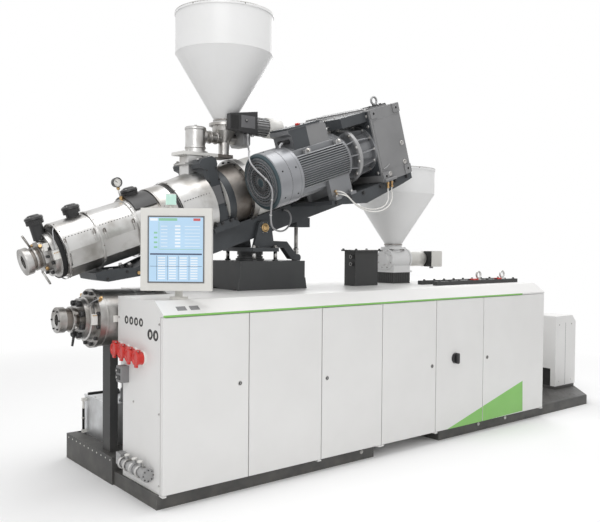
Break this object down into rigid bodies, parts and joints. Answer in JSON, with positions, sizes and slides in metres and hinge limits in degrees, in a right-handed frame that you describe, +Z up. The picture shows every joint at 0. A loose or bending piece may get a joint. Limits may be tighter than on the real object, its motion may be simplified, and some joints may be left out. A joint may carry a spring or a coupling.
{
  "type": "plastic extruder",
  "caption": "Plastic extruder: a long cabinet with swinging doors and a barrel at its end, and a tilted co-extruder with hopper on a pedestal above it",
  "frame": {"origin": "on the floor below the extrusion axis, at the plane of the cabinet's end face", "axes": "X runs along the machine from the die end to the rear, Y goes from the door side to the back, Z is up"},
  "size_m": [5.9839, 1.53, 3.446],
  "materials": {
    "front_plinth": "semi-gloss anthracite paint",
    "rear_plinth": "semi-gloss anthracite paint",
    "tread_grating": "brushed stainless steel",
    "machine_housing": "semi-gloss white powder coat",
    "roof_cover": "semi-gloss white powder coat",
    "green_stripe": "green film",
    "end_panel": "semi-gloss white powder coat",
    "roof_rails": "semi-gloss anthracite paint",
    "lifting_eyes": "brushed stainless steel",
    "rear_cover": "semi-gloss white powder coat",
    "lower_barrel": "brushed stainless steel",
    "lower_die_head": "brushed stainless steel",
    "barrel_support": "semi-gloss anthracite paint",
    "tank_base": "semi-gloss anthracite paint",
    "oil_tank": "brushed stainless steel",
    "sight_tube": "clear tube in steel end pieces",
    "ball_valve": "brushed stainless steel",
    "tank_pump": "brushed stainless steel",
    "power_sockets": "red socket bodies",
    "socket_lids": "red lids",
    "cable_connector": "grey paint",
    "valve_block": "light grey",
    "pedestal": "semi-gloss anthracite paint",
    "trunnion": "semi-gloss anthracite paint",
    "lift_unit": "dark machinery with bright columns",
    "adjusting_arm": "semi-gloss anthracite paint",
    "spindle": "brushed stainless steel",
    "rear_stand": "semi-gloss anthracite paint",
    "hopper_lower": "semi-gloss white powder coat",
    "feeder_lower": "grey paint",
    "feeder_motor_lower": "grey paint",
    "panel_post": "light cream powder coat",
    "door_1": "semi-gloss white powder coat",
    "door_2": "semi-gloss white powder coat",
    "door_3": "semi-gloss white powder coat",
    "door_4": "semi-gloss white powder coat",
    "door_5": "semi-gloss white powder coat",
    "door_6": "semi-gloss white powder coat",
    "main_switch": "matt black",
    "operator_panel": "light cream powder coat",
    "panel_screen": "lit display glass",
    "valve_lever": "matt black",
    "beam": "semi-gloss anthracite paint",
    "feed_block": "grey paint",
    "barrel_covers": "brushed stainless steel",
    "upper_die_head": "brushed stainless steel",
    "cooling_blowers": "matt black",
    "drive_housing": "semi-gloss white powder coat",
    "gearbox": "grey paint",
    "main_motor": "grey paint",
    "fan_cover": "smooth silver-grey paint",
    "feed_chute": "brushed stainless steel",
    "hopper_upper": "semi-gloss white powder coat",
    "feeder_upper": "grey paint",
    "feeder_motor_upper": "grey paint",
    "feeder_cable": "light hose",
    "oil_hose_1": "light hose",
    "oil_hose_2": "light hose"
  },
  "bodies": {
    "frame": {"front_plinth": "front_plinth", "rear_plinth": "rear_plinth", "tread_grating": "tread_grating", "machine_housing": "machine_housing", "roof_cover": "roof_cover", "green_stripe": "green_stripe", "end_panel": "end_panel", "roof_rails": "roof_rails", "lifting_eyes": "lifting_eyes", "rear_cover": "rear_cover", "lower_barrel": "lower_barrel", "lower_die_head": "lower_die_head", "barrel_support": "barrel_support", "tank_base": "tank_base", "oil_tank": "oil_tank", "sight_tube": "sight_tube", "ball_valve": "ball_valve", "tank_pump": "tank_pump", "power_sockets": "power_sockets", "socket_lids": "socket_lids", "cable_connector": "cable_connector", "valve_block": "valve_block", "pedestal": "pedestal", "trunnion": "trunnion", "lift_unit": "lift_unit", "adjusting_arm": "adjusting_arm", "spindle": "spindle", "rear_stand": "rear_stand", "hopper_lower": "hopper_lower", "feeder_lower": "feeder_lower", "feeder_motor_lower": "feeder_motor_lower", "panel_post": "panel_post"},
    "door_1_body": {"door_1": "door_1"},
    "door_2_body": {"door_2": "door_2"},
    "door_3_body": {"door_3": "door_3"},
    "door_4_body": {"door_4": "door_4"},
    "door_5_body": {"door_5": "door_5"},
    "door_6_body": {"door_6": "door_6"},
    "switch_body": {"main_switch": "main_switch"},
    "panel_body": {"operator_panel": "operator_panel", "panel_screen": "panel_screen"},
    "lever_body": {"valve_lever": "valve_lever"},
    "coextruder": {"beam": "beam", "feed_block": "feed_block", "barrel_covers": "barrel_covers", "upper_die_head": "upper_die_head", "cooling_blowers": "cooling_blowers", "drive_housing": "drive_housing", "gearbox": "gearbox", "main_motor": "main_motor", "fan_cover": "fan_cover", "feed_chute": "feed_chute", "hopper_upper": "hopper_upper", "feeder_upper": "feeder_upper", "feeder_motor_upper": "feeder_motor_upper", "feeder_cable": "feeder_cable", "oil_hose_1": "oil_hose_1", "oil_hose_2": "oil_hose_2"}
  },
  "joints": [
    {"name": "door_1_hinge", "type": "hinge", "parent": "frame", "child": "door_1_body", "pos_m": [0.01, -0.842, 0.65], "axis": [0, 0, -1], "range_deg": [0, 90]},
    {"name": "door_2_hinge", "type": "hinge", "parent": "frame", "child": "door_2_body", "pos_m": [1.276, -0.842, 0.65], "axis": [0, 0, 1], "range_deg": [0, 90]},
    {"name": "door_3_hinge", "type": "hinge", "parent": "frame", "child": "door_3_body", "pos_m": [1.897, -0.842, 0.65], "axis": [0, 0, 1], "range_deg": [0, 90]},
    {"name": "door_4_hinge", "type": "hinge", "parent": "frame", "child": "door_4_body", "pos_m": [1.925, -0.842, 0.65], "axis": [0, 0, -1], "range_deg": [0, 90]},
    {"name": "door_5_hinge", "type": "hinge", "parent": "frame", "child": "door_5_body", "pos_m": [2.562, -0.842, 0.65], "axis": [0, 0, -1], "range_deg": [0, 90]},
    {"name": "door_6_hinge", "type": "hinge", "parent": "frame", "child": "door_6_body", "pos_m": [4.113, -0.842, 0.65], "axis": [0, 0, 1], "range_deg": [0, 90]},
    {"name": "main_switch_turn", "type": "hinge", "parent": "door_5_body", "child": "switch_body", "pos_m": [2.793, -0.85, 0.699], "axis": [0, -1, 0], "range_deg": [-90, 0]},
    {"name": "panel_swivel", "type": "hinge", "parent": "frame", "child": "panel_body", "pos_m": [0.232, -0.628, 1.624], "axis": [0, 0, 1], "range_deg": [-60, 60]},
    {"name": "valve_lever_turn", "type": "hinge", "parent": "frame", "child": "lever_body", "pos_m": [0.17, 0.206, 0.565], "axis": [0, 1, 0], "range_deg": [0, 90]},
    {"name": "coextruder_tilt", "type": "hinge", "parent": "frame", "child": "coextruder", "pos_m": [1.26097, 0, 1.79168], "axis": [0, 1, 0], "range_deg": [-2, 4]}
  ]
}
